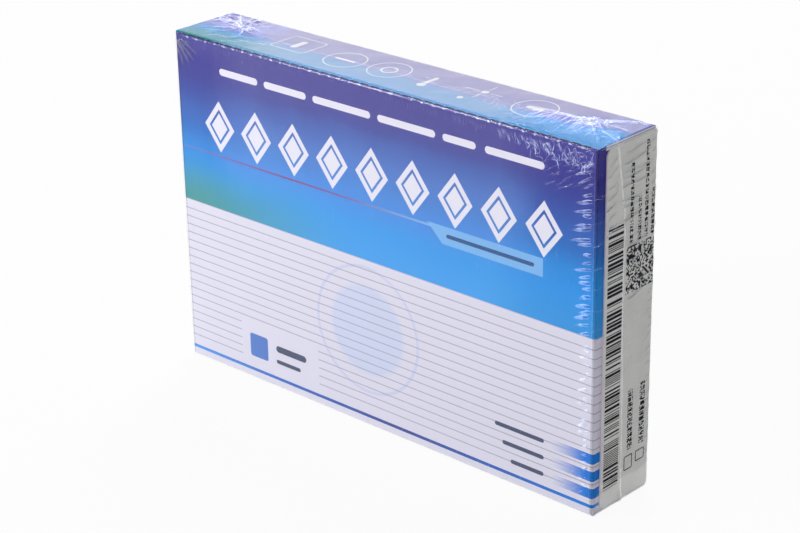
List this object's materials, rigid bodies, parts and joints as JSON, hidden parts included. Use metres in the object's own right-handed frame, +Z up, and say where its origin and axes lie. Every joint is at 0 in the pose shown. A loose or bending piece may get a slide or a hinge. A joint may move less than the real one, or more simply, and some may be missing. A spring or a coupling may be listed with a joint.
{
  "type": "shrink-wrapped lens carton",
  "caption": "Sealed folding carton for a sterile implantable lens, with glued end flaps and a cut-crease top fold, in a tight clear shrink film with welds, gathered knots and creases.",
  "frame": {"origin": "middle of the underside, on the surface that the pack stands on", "axes": "+X to the right along the front panel, towards the end with the bar code; +Y from the front panel to the back panel; +Z up"},
  "size_m": [0.151, 0.0238, 0.1008],
  "materials": {
    "printed_board": "smooth coated board with a printed colour field, satin",
    "clear_film": "thin clear shrink film, glossy, with fine creases"
  },
  "bodies": {
    "root": {"carton": "printed_board", "shrink_film": "clear_film"}
  },
  "joints": []
}
